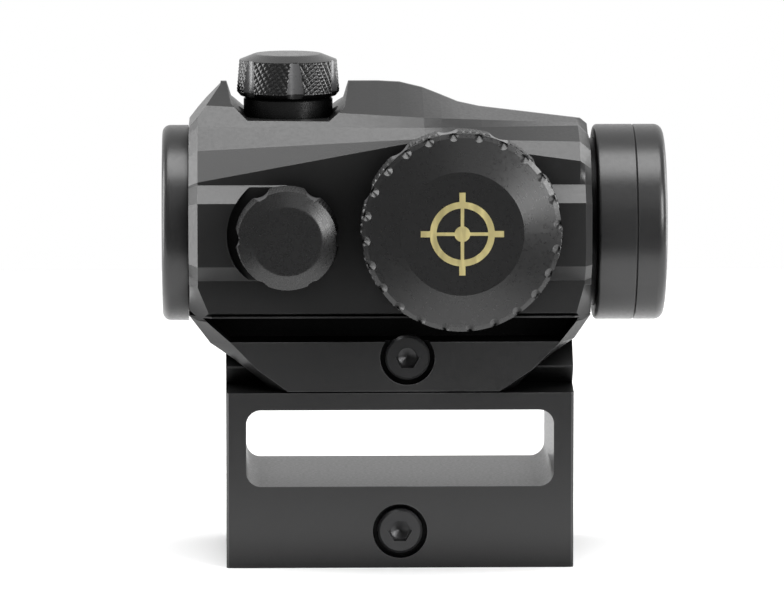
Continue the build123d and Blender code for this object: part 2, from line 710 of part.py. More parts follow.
with BuildPart() as eyepiece_ring:
    with BuildSketch(tube_section):
        Polygon(
            (LIP_RADIUS + 0.9, EYEPIECE_END),
            (RING_RADIUS, EYEPIECE_END),
            (RING_RADIUS, EYEPIECE_FRONT),
            (NECK_RADIUS + RUN, EYEPIECE_FRONT),
            (NECK_RADIUS + RUN, REAR_NECK_END - SEAL_THICKNESS - GLASS_THICKNESS / 2),
            (LIP_RADIUS, REAR_NECK_END - SEAL_THICKNESS - GLASS_THICKNESS / 2),
            align=None,
        )
    revolve(axis=tube_axis)
    outer_edges = eyepiece_ring.edges().filter_by(GeomType.CIRCLE)
    outer_edges = outer_edges.filter_by(lambda edge: edge.radius > RING_RADIUS - RUN)
    fillet(outer_edges.sort_by(Axis.X)[0], radius=1.0)
    fillet(eyepiece_ring.edges().filter_by(GeomType.CIRCLE).sort_by(Axis.X)[-1], radius=0.35)
save(eyepiece_ring, "eyepiece_ring")

with BuildPart() as objective_collar:
    with BuildSketch(tube_section):
        Polygon(*rectangle(NECK_RADIUS + RUN, RING_RADIUS, COLLAR_REAR, COLLAR_FRONT), align=None)
    revolve(axis=tube_axis)
    rim_edges = objective_collar.edges().filter_by(GeomType.CIRCLE)
    rim_edges = rim_edges.filter_by(lambda edge: edge.radius > RING_RADIUS - RUN)
    fillet(rim_edges.sort_by(Axis.X)[0], radius=0.5)
    chamfer(rim_edges.sort_by(Axis.X)[-1], length=0.12)
save(objective_collar, "objective_collar")

objective_stem_end = FRONT_NECK_END + SEAL_THICKNESS + GLASS_THICKNESS + RUN
with BuildPart() as objective_ring:
    with BuildSketch(tube_section):
        Polygon(
            (LIP_RADIUS, objective_stem_end),
            (NECK_RADIUS, objective_stem_end),
            (NECK_RADIUS, COLLAR_FRONT),
            (RING_RADIUS, COLLAR_FRONT),
            (RING_RADIUS, OBJECTIVE_END),
            (LIP_RADIUS + 1.2, OBJECTIVE_END),
            align=None,
        )
    revolve(axis=tube_axis)
    front_edges = objective_ring.edges().filter_by(GeomType.CIRCLE)
    front_edges = front_edges.filter_by(lambda edge: edge.radius > RING_RADIUS - RUN)
    fillet(front_edges.sort_by(Axis.X)[-1], radius=1.1)
    chamfer(front_edges.sort_by(Axis.X)[0], length=0.12)
save(objective_ring, "objective_ring")

rear_seal_end = REAR_NECK_END - SEAL_THICKNESS
rear_window_seal = ring(LIP_RADIUS + RUN, GLASS_RADIUS, rear_seal_end, REAR_NECK_END, optical_yz, 0.12)
save(rear_window_seal, "rear_window_seal")
front_seal_end = FRONT_NECK_END + SEAL_THICKNESS
front_window_seal = ring(LIP_RADIUS + RUN, GLASS_RADIUS, FRONT_NECK_END, front_seal_end, optical_yz, 0.12)
save(front_window_seal, "front_window_seal")


def window(start, thickness, radius, plane, edge_bevel):
    """Flat round glass with bevelled edges."""
    with BuildPart() as glass:
        with BuildSketch(plane.offset(start)):
            Circle(radius)
        extrude(amount=thickness)
        chamfer(glass.edges().filter_by(GeomType.CIRCLE), length=edge_bevel)
    return glass


rear_window = window(
    rear_seal_end - GLASS_THICKNESS / 2, GLASS_THICKNESS / 2, GLASS_RADIUS, optical_yz, 0.1
)
save(rear_window, "rear_window")
front_window = window(front_seal_end, GLASS_THICKNESS, GLASS_RADIUS, optical_yz, 0.15)
save(front_window, "front_window")

# ---------------------------------------------------------------- tilting optics tube
optics_tube = ring(OPTICS_BORE, OPTICS_RADIUS, OPTICS_REAR, OPTICS_FRONT, optical_yz)
save(optics_tube, "optics_tube")

lens_reach = OPTICS_BORE - RUN
lens_curve = (lens_reach**2 + LENS_SAG**2) / (2 * LENS_SAG)
lens_sweep = math.degrees(math.asin(lens_reach / lens_curve))
lens_front = LENS_REAR + LENS_THICKNESS
with BuildPart() as collimating_lens:
    with BuildSketch(tube_section):
        with BuildLine():
            CenterArc((0, lens_front - lens_curve), lens_curve, 90 - lens_sweep, lens_sweep)
            Line((0, lens_front), (0, LENS_REAR + LENS_SAG))
            CenterArc((0, LENS_REAR + LENS_SAG - lens_curve), lens_curve, 90 - lens_sweep, lens_sweep)
            Line((lens_reach, LENS_REAR), (lens_reach, lens_front - LENS_SAG))
        make_face()
    revolve(axis=tube_axis)
save(collimating_lens, "collimating_lens")
lens_retainer = ring(
    OPTICS_BORE - RETAINER_WIDTH,
    OPTICS_BORE - RUN,
    lens_front - LENS_SAG + 4 * RUN,
    OPTICS_FRONT - 2 * GAP,
    optical_yz,
)
save(lens_retainer, "lens_retainer")

# emitter at the lower rear of the optics tube
with BuildPart() as emitter_housing:
    with BuildSketch(optical_yz.offset(EMITTER_X)):
        Circle(OPTICS_BORE - RUN)
        Polygon(
            *rectangle(-2 * OPTICS_BORE, 2 * OPTICS_BORE, EMITTER_FLAT_UP, 2 * OPTICS_BORE),
            align=None,
            mode=Mode.SUBTRACT,
        )
    extrude(amount=EMITTER_LENGTH)
    with BuildSketch(optical_yz.offset(EMITTER_X + EMITTER_LENGTH - EMITTER_RECESS)):
        with Locations((0, EMITTER_UP)):
            Circle(EMITTER_RADIUS + RUN)
    extrude(amount=2, mode=Mode.SUBTRACT)
save(emitter_housing, "emitter_housing")
with BuildPart() as emitter_led:
    with BuildSketch(optical_yz.offset(EMITTER_X + EMITTER_LENGTH - EMITTER_RECESS + RUN)):
        with Locations((0, EMITTER_UP)):
            Circle(EMITTER_RADIUS)
    extrude(amount=EMITTER_RECESS + GAP)
    fillet(emitter_led.edges().filter_by(GeomType.CIRCLE).sort_by(Axis.X)[-1], radius=0.4)
save(emitter_led, "emitter_led")

# gimbal: a ring that turns on two upright pins and carries the tube on two level pins
gimbal_plane = Plane(origin=(PIVOT_X, 0, AXIS_HEIGHT), x_dir=(1, 0, 0), z_dir=(0, -1, 0))
upright_gimbal_plane = Plane(origin=(PIVOT_X, 0, AXIS_HEIGHT), x_dir=(1, 0, 0), z_dir=(0, 0, 1))
with BuildPart() as gimbal_ring:
    with BuildSketch(optical_yz.offset(PIVOT_X - GIMBAL_HALF_WIDTH)):
        Circle(GIMBAL_OUTER)
        Circle(GIMBAL_INNER, mode=Mode.SUBTRACT)
    extrude(amount=2 * GIMBAL_HALF_WIDTH)
    with BuildSketch(gimbal_plane):
        Circle(GIMBAL_PIN_RADIUS + RUN)
    extrude(amount=FAR_CUT, both=True, mode=Mode.SUBTRACT)
save(gimbal_ring, "gimbal_ring")


def pin_pair(plane, start, end, radius):
    """Two pins in line on opposite sides of the tube."""
    pins = []
    for direction in (1, -1):
        with BuildPart() as pin:
            with BuildSketch(plane.offset(direction * start)):
                Circle(radius)
            extrude(amount=direction * (end - start))
        pins.append(pin.part.solid())
    return pins


# level pins stand on the optics tube, upright pins stand on the gimbal ring
tube_pins = pin_pair(gimbal_plane, OPTICS_RADIUS, GIMBAL_OUTER - RUN, GIMBAL_PIN_RADIUS)
save_solids(tube_pins, "tube_pivot_pins")
gimbal_pins = pin_pair(upright_gimbal_plane, GIMBAL_OUTER, GIMBAL_PIN_REACH, GIMBAL_PIN_RADIUS)
save_solids(gimbal_pins, "gimbal_pivot_pins")

def curved_strip(inner, thickness, middle_angle, half_sweep):
    """Strip bent round the origin, drawn in an empty sketch."""
    Circle(inner + thickness)
    Circle(inner, mode=Mode.SUBTRACT)
    low = math.radians(middle_angle - half_sweep)
    high = math.radians(middle_angle + half_sweep)
    reach = 2 * inner
    Polygon(
        (0, 0),
        (reach * math.cos(low), reach * math.sin(low)),
        (reach * math.cos(high), reach * math.sin(high)),
        align=None,
        mode=Mode.INTERSECT,
    )


# leaf spring in the lower far corner, which presses the tube against both plungers
with BuildPart() as bias_spring:
    with BuildSketch(optical_yz.offset(ELEVATION_X - SPRING_LENGTH / 2)):
        curved_strip(BORE_RADIUS - 4 * RUN, SPRING_THICKNESS, SPRING_MIDDLE, SPRING_HALF_SWEEP)
    extrude(amount=SPRING_LENGTH)
save(bias_spring, "bias_spring")

# ---------------------------------------------------------------- turrets
PLUNGER_TIP = OPTICS_RADIUS + 0.02


def turret_base(plane):
    """Threaded bush that carries the cap and holds the adjuster."""
    return turned(
        [
            (SCREW_RADIUS + RUN, TURRET_FLOOR - SOCKET_DEPTH + RUN),
            (SOCKET_RADIUS, TURRET_FLOOR - SOCKET_DEPTH + RUN),
            (SOCKET_RADIUS, TURRET_FLOOR),
            (TURRET_NECK_RADIUS, TURRET_FLOOR),
            (TURRET_NECK_RADIUS, TURRET_NECK_TOP - GAP),
            (TURRET_NECK_RADIUS - GAP, TURRET_NECK_TOP),
            (SPIGOT_RADIUS, TURRET_NECK_TOP),
            (SPIGOT_RADIUS, SPIGOT_TOP - GAP),
            (SPIGOT_RADIUS - GAP, SPIGOT_TOP),
            (ADJUSTER_RADIUS + RUN, SPIGOT_TOP),
            (ADJUSTER_RADIUS + RUN, ADJUSTER_BACK - 2 * RUN),
            (ADJUSTER_STEM + RUN, ADJUSTER_BACK - 2 * RUN),
            (ADJUSTER_STEM + RUN, ADJUSTER_STEM_END - 2 * RUN),
            (SCREW_RADIUS + RUN, ADJUSTER_STEM_END - 2 * RUN),
        ],
        plane,
    )


def adjuster(plane):
    """Slotted adjuster: a captive nut that drives the plunger."""
    with BuildPart() as piece:
        with BuildSketch(across(plane)):
            Polygon(
                (0, ADJUSTER_FACE),
                (ADJUSTER_RADIUS - GAP, ADJUSTER_FACE),
                (ADJUSTER_RADIUS, ADJUSTER_FACE - GAP),
                (ADJUSTER_RADIUS, ADJUSTER_BACK),
                (ADJUSTER_STEM, ADJUSTER_BACK),
                (ADJUSTER_STEM, ADJUSTER_STEM_END),
                (SCREW_RADIUS + RUN, ADJUSTER_STEM_END),
                (SCREW_RADIUS + RUN, PLUNGER_END + PLUNGER_ROOM),
                (0, PLUNGER_END + PLUNGER_ROOM),
                align=None,
            )
        revolve(axis=axis_of(plane))
        with BuildSketch(plane.offset(ADJUSTER_FACE - ADJUSTER_SLOT_DEPTH)):
            Rectangle(3 * ADJUSTER_RADIUS, ADJUSTER_SLOT)
        extrude(amount=2, mode=Mode.SUBTRACT)
    return piece


def plunger(plane):
    """Pin between the adjuster and the optics tube."""
    return turned(
        [
            (0, PLUNGER_TIP),
            (SCREW_RADIUS - 0.5, PLUNGER_TIP),
            (SCREW_RADIUS, PLUNGER_TIP + 0.5),
            (SCREW_RADIUS, PLUNGER_END),
            (0, PLUNGER_END),
        ],
        plane,
    )


def turret_cap(plane, first_flute):
    """Screw-on cap: chamfered flat top, slightly tapered grip with flutes."""
    with BuildPart() as piece:
        with BuildSketch(across(plane)):
            Polygon(
                (0, CAP_TOP),
                (CAP_TOP_RADIUS, CAP_TOP),
                (CAP_SHOULDER_RADIUS, CAP_TOP - 0.75),
                (CAP_BASE_RADIUS, CAP_BOTTOM + 0.6),
                (CAP_BASE_RADIUS - 0.5, CAP_BOTTOM),
                (CAP_MOUTH_RADIUS, CAP_BOTTOM),
                (CAP_MOUTH_RADIUS, CAP_BOTTOM + CAP_MOUTH_DEPTH),
                (SPIGOT_RADIUS + RUN, CAP_BOTTOM + CAP_MOUTH_DEPTH),
                (SPIGOT_RADIUS + RUN, SPIGOT_TOP + GAP),
                (0, SPIGOT_TOP + GAP),
                align=None,
            )
        revolve(axis=axis_of(plane))
        with BuildSketch(plane.offset(CAP_BOTTOM - 1)):
            with PolarLocations(CAP_BASE_RADIUS + FLUTE_RADIUS - FLUTE_DEPTH, CAP_FLUTES, first_flute):
                Circle(FLUTE_RADIUS)
        extrude(amount=CAP_TOP - CAP_BOTTOM + 2, mode=Mode.SUBTRACT)
    return piece


def cap_seal(plane):
    """O-ring inside the cap's mouth."""
    return ring(
        SPIGOT_RADIUS + 3 * RUN,
        CAP_MOUTH_RADIUS - RUN,
        CAP_BOTTOM + 2 * RUN,
        CAP_BOTTOM + CAP_MOUTH_DEPTH - RUN,
        plane,
        4 * RUN,
    )


for turret_name, turret_plane, flute_angle in (
    ("elevation", elevation_plane, 38),
    ("windage", windage_plane, 0),
):
    save(turret_base(turret_plane), f"{turret_name}_turret")
    save(adjuster(turret_plane), f"{turret_name}_adjuster")
    save(plunger(turret_plane), f"{turret_name}_plunger")
    save(turret_cap(turret_plane, flute_angle), f"{turret_name}_cap")
    save(cap_seal(turret_plane), f"{turret_name}_cap_seal")

# ---------------------------------------------------------------- battery hub and dial
with BuildPart() as battery_hub:
    with BuildSketch(across(dial_plane)):
        Polygon(
            (0, HUB_STEM_END),
            (POCKET_RADIUS - RUN, HUB_STEM_END),
            (POCKET_RADIUS - RUN, BOSS_FACE + RUN),
            (HUB_RADIUS, BOSS_FACE + RUN),
            (HUB_RADIUS, HUB_FACE),
            (CELL_RADIUS + 0.15, HUB_FACE),
            (CELL_RADIUS + 0.15, HUB_FLOOR),
            (0, HUB_FLOOR),
            align=None,
        )
    revolve(axis=axis_of(dial_plane))
    with BuildSketch(dial_plane.offset(HUB_STEM_END - 1)):
        with PolarLocations(HUB_SCREW_CIRCLE, HUB_SCREWS, start_angle=90):
            Circle(HUB_SCREW_RADIUS + 2 * RUN)
        with Locations((HUB_SCREW_CIRCLE - 2, 0)):
            Circle(HUB_SCREW_RADIUS)
    extrude(amount=4, mode=Mode.SUBTRACT)
    with BuildSketch(dial_plane.offset(HUB_FLOOR - HUB_SCREW_SINK - RUN)):
        with PolarLocations(HUB_SCREW_CIRCLE, HUB_SCREWS, start_angle=90):
            Circle(HUB_SCREW_HEAD_RADIUS + RUN)
    extrude(amount=2, mode=Mode.SUBTRACT)
    # pocket for the dial's detent leaf
    with BuildSketch(dial_plane.offset(LEAF_BACK - 2 * RUN)):
        curved_strip(LEAF_INNER - RUN, HUB_RADIUS + 1 - LEAF_INNER, 90, LEAF_SWEEP / 2 + 1)
    extrude(amount=LEAF_WIDTH + 4 * RUN, mode=Mode.SUBTRACT)
save(battery_hub, "battery_hub")

with BuildPart() as dial_detent_leaf:
    with BuildSketch(dial_plane.offset(LEAF_BACK)):
        curved_strip(LEAF_INNER, LEAF_THICKNESS, 90, LEAF_SWEEP / 2)
        with Locations((0, LEAF_INNER + LEAF_THICKNESS / 2)):
            Circle(2 * LEAF_THICKNESS)
        Circle(LEAF_INNER, mode=Mode.SUBTRACT)
    extrude(amount=LEAF_WIDTH)
save(dial_detent_leaf, "dial_detent_leaf")

hub_screws = []
for screw_spot in PolarLocations(HUB_SCREW_CIRCLE, HUB_SCREWS, start_angle=90):
    spot = (screw_spot.position.X, screw_spot.position.Y)
    head_back = HUB_FLOOR - HUB_SCREW_SINK
    with BuildPart() as hub_screw:
        with BuildSketch(dial_plane.offset(head_back)):
            with Locations(spot):
                Circle(HUB_SCREW_HEAD_RADIUS)
        extrude(amount=HUB_SCREW_HEAD_HEIGHT)
        with BuildSketch(dial_plane.offset(POCKET_FLOOR - HUB_SCREW_DEPTH)):
            with Locations(spot):
                Circle(HUB_SCREW_RADIUS)
        extrude(amount=head_back - POCKET_FLOOR + HUB_SCREW_DEPTH)
        with BuildSketch(dial_plane.offset(head_back + HUB_SCREW_HEAD_HEIGHT / 2)):
            with Locations(spot):
                Rectangle(1.6, 0.35)
                Rectangle(0.35, 1.6)
        extrude(amount=1, mode=Mode.SUBTRACT)
    hub_screws.append(hub_screw.part.solid())
save_solids(hub_screws, "hub_screws")

circuit_board = ring(
    LEAD_HOLE_RADIUS, HUB_SCREW_CIRCLE - 1.6, POCKET_FLOOR + 2 * RUN, HUB_STEM_END - 4 * RUN, dial_plane
)
save(circuit_board, "circuit_board")
battery_contact = turned(
    [
        (0, HUB_FLOOR),
        (CONTACT_RADIUS, HUB_FLOOR),
        (CONTACT_RADIUS, HUB_FLOOR + CONTACT_RISE / 2),
        (CONTACT_RADIUS / 2, HUB_FLOOR + CONTACT_RISE),
        (0, HUB_FLOOR + CONTACT_RISE),
    ],
    dial_plane,
)
save(battery_contact, "battery_contact")
with BuildPart() as coin_cell:
    with BuildSketch(dial_plane.offset(CELL_BACK)):
        Circle(CELL_RADIUS - 1.0)
    extrude(amount=0.3)
    with BuildSketch(dial_plane.offset(CELL_BACK + 0.3)):
        Circle(CELL_RADIUS)
    extrude(amount=CELL_THICKNESS - 0.3)
    fillet(coin_cell.edges().filter_by(GeomType.CIRCLE).sort_by(Axis.Y)[0], radius=0.25)
save(coin_cell, "coin_cell")

with BuildPart() as brightness_dial:
    with BuildSketch(dial_plane.offset(DIAL_BACK)):
        Circle(DIAL_RADIUS)
        Circle(HUB_RADIUS + 2 * RUN, mode=Mode.SUBTRACT)
        with PolarLocations(DIAL_RADIUS + DIAL_FLUTE_RADIUS - DIAL_FLUTE_DEPTH, DIAL_FLUTES, start_angle=8):
            Circle(DIAL_FLUTE_RADIUS, mode=Mode.SUBTRACT)
    extrude(amount=DIAL_FACE - DIAL_BACK)
save(brightness_dial, "brightness_dial")

emblem_plane = dial_plane.offset(CAP_FACE - EMBLEM_DEPTH)


def emblem_shape():
    """Reticle mark: ring, centre dot, fine cross lines and four ticks outside the ring."""
    Circle(3.9)
    Circle(3.1, mode=Mode.SUBTRACT)
    Circle(0.95)
    Rectangle(7, 0.42)
    Rectangle(0.42, 7)
    with PolarLocations(4.4, 4):
        Rectangle(1.2, 0.75)


with BuildPart() as battery_cap:
    with BuildSketch(across(dial_plane)):
        Polygon(
            (0, CAP_FACE),
            (CAP_DISC_RADIUS, CAP_FACE),
            (CAP_CONE_RADIUS, CAP_CONE_END),
            (CAP_RIM_RADIUS, CAP_RIM_FACE),
            (CAP_RIM_RADIUS, CAP_BACK + CAP_EDGE),
            (CAP_RIM_RADIUS - CAP_EDGE, CAP_BACK),
            (CAP_PLUG_RADIUS, CAP_BACK),
            (CAP_PLUG_RADIUS, CAP_BACK - CAP_EDGE),
            (CAP_PLUG_RADIUS - SEAL_GROOVE_DEPTH, CAP_BACK - CAP_EDGE),
            (CAP_PLUG_RADIUS - SEAL_GROOVE_DEPTH, CAP_BACK - CAP_EDGE - SEAL_GROOVE_WIDTH),
            (CAP_PLUG_RADIUS, CAP_BACK - CAP_EDGE - SEAL_GROOVE_WIDTH),
            (CAP_PLUG_RADIUS, CAP_PLUG_END),
            (CAP_PLUG_BORE, CAP_PLUG_END),
            (CAP_PLUG_BORE, CAP_RIM_FACE),
            (0, CAP_RIM_FACE),
            align=None,
        )
    revolve(axis=axis_of(dial_plane))
    # countersunk notches round the rim
    with BuildSketch(dial_plane.offset(CAP_RIM_FACE - CAP_NOTCH_DEPTH)):
        with PolarLocations(CAP_RIM_RADIUS - CAP_EDGE, CAP_NOTCHES, start_angle=5):
            Circle(CAP_NOTCH_POINT)
    extrude(amount=2 * CAP_NOTCH_DEPTH, taper=-CAP_NOTCH_SLOPE, mode=Mode.SUBTRACT)
    with BuildSketch(emblem_plane):
        emblem_shape()
    extrude(amount=1, mode=Mode.SUBTRACT)
save(battery_cap, "battery_cap")
with BuildPart() as cap_emblem:
    with BuildSketch(emblem_plane):
        emblem_shape()
    extrude(amount=EMBLEM_DEPTH + EMBLEM_RAISED)
save(cap_emblem, "cap_emblem")
battery_cap_seal = ring(
    CAP_PLUG_RADIUS - SEAL_GROOVE_DEPTH + RUN,
    CAP_PLUG_RADIUS + RUN / 2,
    CAP_BACK - CAP_EDGE - SEAL_GROOVE_WIDTH + RUN,
    CAP_BACK - CAP_EDGE - RUN,
    dial_plane,
    0.18,
)
save(battery_cap_seal, "battery_cap_seal")
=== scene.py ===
"""Looks of the micro red dot sight on its riser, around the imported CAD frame."""
import math

import bmesh
import bpy
from mathutils import Matrix, Vector


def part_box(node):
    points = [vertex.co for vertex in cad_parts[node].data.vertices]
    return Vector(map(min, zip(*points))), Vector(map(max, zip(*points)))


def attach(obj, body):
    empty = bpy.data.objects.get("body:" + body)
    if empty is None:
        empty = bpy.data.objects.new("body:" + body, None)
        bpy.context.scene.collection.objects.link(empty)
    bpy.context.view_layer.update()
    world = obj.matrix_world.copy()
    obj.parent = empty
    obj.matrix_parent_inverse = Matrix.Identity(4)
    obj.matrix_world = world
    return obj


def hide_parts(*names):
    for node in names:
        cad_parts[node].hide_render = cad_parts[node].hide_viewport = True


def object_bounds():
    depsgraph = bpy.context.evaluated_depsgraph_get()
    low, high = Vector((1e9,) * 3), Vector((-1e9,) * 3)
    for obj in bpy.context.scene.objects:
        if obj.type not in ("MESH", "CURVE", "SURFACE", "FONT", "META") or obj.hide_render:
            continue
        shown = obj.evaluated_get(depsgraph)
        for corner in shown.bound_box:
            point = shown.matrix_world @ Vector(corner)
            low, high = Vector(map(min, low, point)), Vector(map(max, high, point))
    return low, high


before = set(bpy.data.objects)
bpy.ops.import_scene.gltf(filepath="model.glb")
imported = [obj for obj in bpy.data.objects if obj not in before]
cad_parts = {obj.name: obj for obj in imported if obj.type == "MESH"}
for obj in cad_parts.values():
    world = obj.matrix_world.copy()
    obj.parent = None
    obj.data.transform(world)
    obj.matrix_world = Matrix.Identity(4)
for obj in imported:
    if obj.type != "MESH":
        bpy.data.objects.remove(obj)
cad_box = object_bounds()

MM = 0.001


def centre_of(node):
    """Middle of a CAD node's box, in metres."""
    low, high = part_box(node)
    return (Vector(low) + Vector(high)) / 2


tube_centre = centre_of("objective_ring")
elevation_centre = centre_of("elevation_cap")
windage_centre = centre_of("windage_cap")
dial_centre = centre_of("battery_cap")
FLOOR_HEIGHT = cad_box[0][2]

# ---------------------------------------------------------------- camera, lights, floor
CAMERA_PLACE = Vector((-0.01835, -0.760, 0.122))
CAMERA_TARGET = Vector((-0.0007, 0.0, 0.02592))
CAMERA_LENS = 283.3
CAMERA_SENSOR = 36.0
LIGHT_TARGET = Vector((0.0, 0.0, 0.03))
ROOM_FRONT = 0.22
ROOM_BACK = 0.95
ROOM_BACK_POSITION = 0.9
FLOOR_SIZE = 0.36           # the floor starts just in front of the object
FLOOR_MIDDLE_Y = 0.11
FLOOR_GLOW = 0.12
SOFTBOXES = (               # name, azimuth, elevation, distance, width, height, radiance
    ("top_softbox", 0, 78, 0.50, 0.60, 0.32, 6.0),
    ("front_softbox", 10, 34, 0.80, 0.30, 0.30, 0.6),
    ("right_softbox", 48, 18, 0.80, 0.32, 0.42, 12.0),
    ("far_right_softbox", 118, 5, 0.80, 0.45, 0.50, 5.0),
    ("far_left_softbox", -103, 8, 0.80, 0.45, 0.60, 6.5),
)


def look_at(obj, target):
    """Points an object's -Z axis at a place, with its Y axis up."""
    obj.rotation_euler = (target - obj.location).to_track_quat("-Z", "Y").to_euler()


def add_camera():
    """The camera at the photograph's viewing angle."""
    data = bpy.data.cameras.new("camera")
    data.lens = CAMERA_LENS
    data.sensor_width = CAMERA_SENSOR
    data.clip_start = 0.01
    data.clip_end = 20.0
    camera = bpy.data.objects.new("camera", data)
    bpy.context.scene.collection.objects.link(camera)
    camera.location = CAMERA_PLACE
    look_at(camera, CAMERA_TARGET)
    bpy.context.scene.camera = camera


def add_softbox(name, azimuth, elevation, distance, width, height, radiance):
    """A rectangular light on a sphere round the object; azimuth 0 is the camera's side, 90 is +X."""
    across, up = math.radians(azimuth), math.radians(elevation)
    out = Vector((math.sin(across) * math.cos(up), -math.cos(across) * math.cos(up), math.sin(up)))
    data = bpy.data.lights.new(name, "AREA")
    data.shape = "RECTANGLE"
    data.size = width
    data.size_y = height
    data.energy = radiance * math.pi * width * height
    lamp = bpy.data.objects.new(name, data)
    bpy.context.scene.collection.objects.link(lamp)
    lamp.location = LIGHT_TARGET + out * distance
    look_at(lamp, LIGHT_TARGET)


def add_world():
    """White surroundings for the camera, and for the light a grey room, brighter at the back."""
    world = bpy.data.worlds.new("studio")
    bpy.context.scene.world = world
    world.use_nodes = True
    tree = world.node_tree
    tree.nodes.clear()
    output = tree.nodes.new("ShaderNodeOutputWorld")
    seen = tree.nodes.new("ShaderNodeBackground")
    seen.inputs["Color"].default_value = (1, 1, 1, 1)
    seen.inputs["Strength"].default_value = 1.0
    room = tree.nodes.new("ShaderNodeBackground")
    room.inputs["Strength"].default_value = 1.0
    place = tree.nodes.new("ShaderNodeTexCoord")
    split = tree.nodes.new("ShaderNodeSeparateXYZ")
    tree.links.new(place.outputs["Generated"], split.inputs["Vector"])
    ramp = tree.nodes.new("ShaderNodeValToRGB")
    tree.links.new(split.outputs["Y"], ramp.inputs["Fac"])
    ramp.color_ramp.elements[0].position = 0.0
    ramp.color_ramp.elements[0].color = (ROOM_FRONT, ROOM_FRONT, ROOM_FRONT, 1)
    ramp.color_ramp.elements[1].position = ROOM_BACK_POSITION
    ramp.color_ramp.elements[1].color = (ROOM_BACK, ROOM_BACK, ROOM_BACK, 1)
    tree.links.new(ramp.outputs["Color"], room.inputs["Color"])
    path = tree.nodes.new("ShaderNodeLightPath")
    choose = tree.nodes.new("ShaderNodeMixShader")
    tree.links.new(path.outputs["Is Camera Ray"], choose.inputs["Fac"])
    tree.links.new(room.outputs["Background"], choose.inputs[1])
    tree.links.new(seen.outputs["Background"], choose.inputs[2])
    tree.links.new(choose.outputs["Shader"], output.inputs["Surface"])


def floor_material():
    """Plain white floor with a faint glow, which keeps it as pale as the surroundings."""
    material = bpy.data.materials.new("floor_white")
    material.use_nodes = True
    shader = material.node_tree.nodes["Principled BSDF"]
    shader.inputs["Base Color"].default_value = (0.93, 0.93, 0.93, 1)
    shader.inputs["Roughness"].default_value = 0.5
    shader.inputs["Emission Color"].default_value = (1, 1, 1, 1)
    shader.inputs["Emission Strength"].default_value = FLOOR_GLOW
    return material


def add_studio():
    """Soft studio light from above, front right and both sides, on a pale floor."""
    add_world()
    for softbox in SOFTBOXES:
        add_softbox(*softbox)
    bpy.ops.mesh.primitive_plane_add(size=FLOOR_SIZE, location=(0, FLOOR_MIDDLE_Y, FLOOR_HEIGHT))
    floor = bpy.context.object
    floor.name = "floor"
    floor.data.materials.append(floor_material())
    bpy.context.scene.view_settings.view_transform = "Standard"


# ---------------------------------------------------------------- materials
# Painted shade: in gaps and under overhangs an ambient-occlusion mask takes the anodised colour towards
# near black and weakens its reflections.
PAINTED_SHADE_REACH = 0.007        # metres over which a gap or an overhang darkens
PAINTED_SHADE_GREY = 0.0015
PAINTED_SHADE_SPECULAR = 0.04
OPEN_SPECULAR = 0.5
WORN_EDGE = 0.00018
GRAIN_HEIGHT = 0.00002
RING_HEIGHT = 0.00001


def new_material(name):
    """A node material with its shader at hand."""
    material = bpy.data.materials.new(name)
    material.use_nodes = True
    return material, material.node_tree, material.node_tree.nodes["Principled BSDF"]


def add_noise(tree, scale, detail=3.0, roughness=0.55, stretch=None):
    """Noise in object space, so that it stays on the piece; stretch scales it along each axis."""
    place = tree.nodes.new("ShaderNodeTexCoord")
    source = place.outputs["Object"]
    if stretch:
        mapping = tree.nodes.new("ShaderNodeMapping")
        mapping.inputs["Scale"].default_value = stretch
        tree.links.new(source, mapping.inputs["Vector"])
        source = mapping.outputs["Vector"]
    noise = tree.nodes.new("ShaderNodeTexNoise")
    noise.inputs["Scale"].default_value = scale
    noise.inputs["Detail"].default_value = detail
    noise.inputs["Roughness"].default_value = roughness
    tree.links.new(source, noise.inputs["Vector"])
    return noise


def add_turning(tree, centre, axis, scale):
    """Noise that depends only on the distance from an axis: the fine rings of a lathe tool."""
    place = tree.nodes.new("ShaderNodeTexCoord")
    shift = tree.nodes.new("ShaderNodeVectorMath")
    shift.operation = "SUBTRACT"
    shift.inputs[1].default_value = centre
    tree.links.new(place.outputs["Object"], shift.inputs[0])
    flatten = tree.nodes.new("ShaderNodeVectorMath")
    flatten.operation = "MULTIPLY"
    flatten.inputs[1].default_value = [0.0 if component else 1.0 for component in axis]
    tree.links.new(shift.outputs["Vector"], flatten.inputs[0])
    length = tree.nodes.new("ShaderNodeVectorMath")
    length.operation = "LENGTH"
    tree.links.new(flatten.outputs["Vector"], length.inputs[0])
    along = tree.nodes.new("ShaderNodeVectorMath")
    along.operation = "DOT_PRODUCT"
    along.inputs[1].default_value = axis
    tree.links.new(shift.outputs["Vector"], along.inputs[0])
    total = tree.nodes.new("ShaderNodeMath")
    total.operation = "ADD"
    tree.links.new(length.outputs["Value"], total.inputs[0])
    tree.links.new(along.outputs["Value"], total.inputs[1])
    noise = tree.nodes.new("ShaderNodeTexNoise")
    noise.noise_dimensions = "1D"
    noise.inputs["Scale"].default_value = scale
    noise.inputs["Detail"].default_value = 2.0
    tree.links.new(total.outputs["Value"], noise.inputs["W"])
    return noise


def map_value(tree, source, low, high, from_low=0.3, from_high=0.7):
    """A noise value spread between two limits."""
    spread = tree.nodes.new("ShaderNodeMapRange")
    spread.inputs["From Min"].default_value = from_low
    spread.inputs["From Max"].default_value = from_high
    spread.inputs["To Min"].default_value = low
    spread.inputs["To Max"].default_value = high
    tree.links.new(source, spread.inputs["Value"])
    return spread.outputs["Result"]


def mix_colours(tree, share, dark, light):
    """Colour between two others by a 0 to 1 value."""
    mix = tree.nodes.new("ShaderNodeMix")
    mix.data_type = "RGBA"
    mix.inputs["A"].default_value = (*dark, 1)
    mix.inputs["B"].default_value = (*light, 1)
    tree.links.new(share, mix.inputs["Factor"])
    return mix.outputs["Result"]


